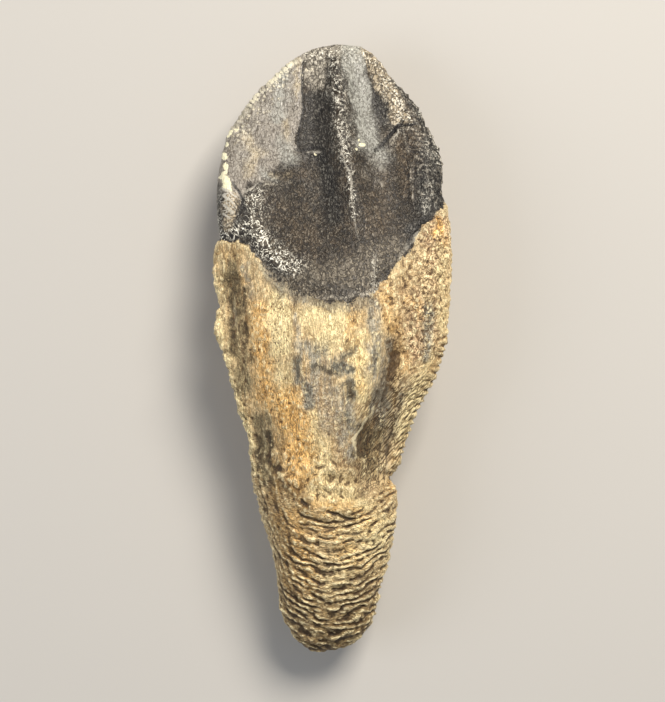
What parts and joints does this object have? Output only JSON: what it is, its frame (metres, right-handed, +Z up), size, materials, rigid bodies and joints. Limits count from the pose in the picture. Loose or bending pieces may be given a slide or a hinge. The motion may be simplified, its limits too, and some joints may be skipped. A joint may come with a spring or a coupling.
{
  "type": "fossil dinosaur tooth",
  "caption": "Fossil tooth of a large plant-eating dinosaur, lying on its back: a dark, spoon-shaped enamelled crown with a low median ridge, on a long, ridged, tan root.",
  "frame": {"origin": "on the surface that the tooth lies on, under the middle of its box", "axes": "+Y along the tooth to the tip of the crown, +X to the right of the enamelled face, +Z up, out of that face"},
  "size_m": [0.0236, 0.06, 0.0143],
  "materials": {
    "fossil": "mineralised tooth: glossy dark brown enamel on the face of the crown, matt tan cementum on the root"
  },
  "bodies": {
    "root": {"tooth": "fossil"}
  },
  "joints": []
}
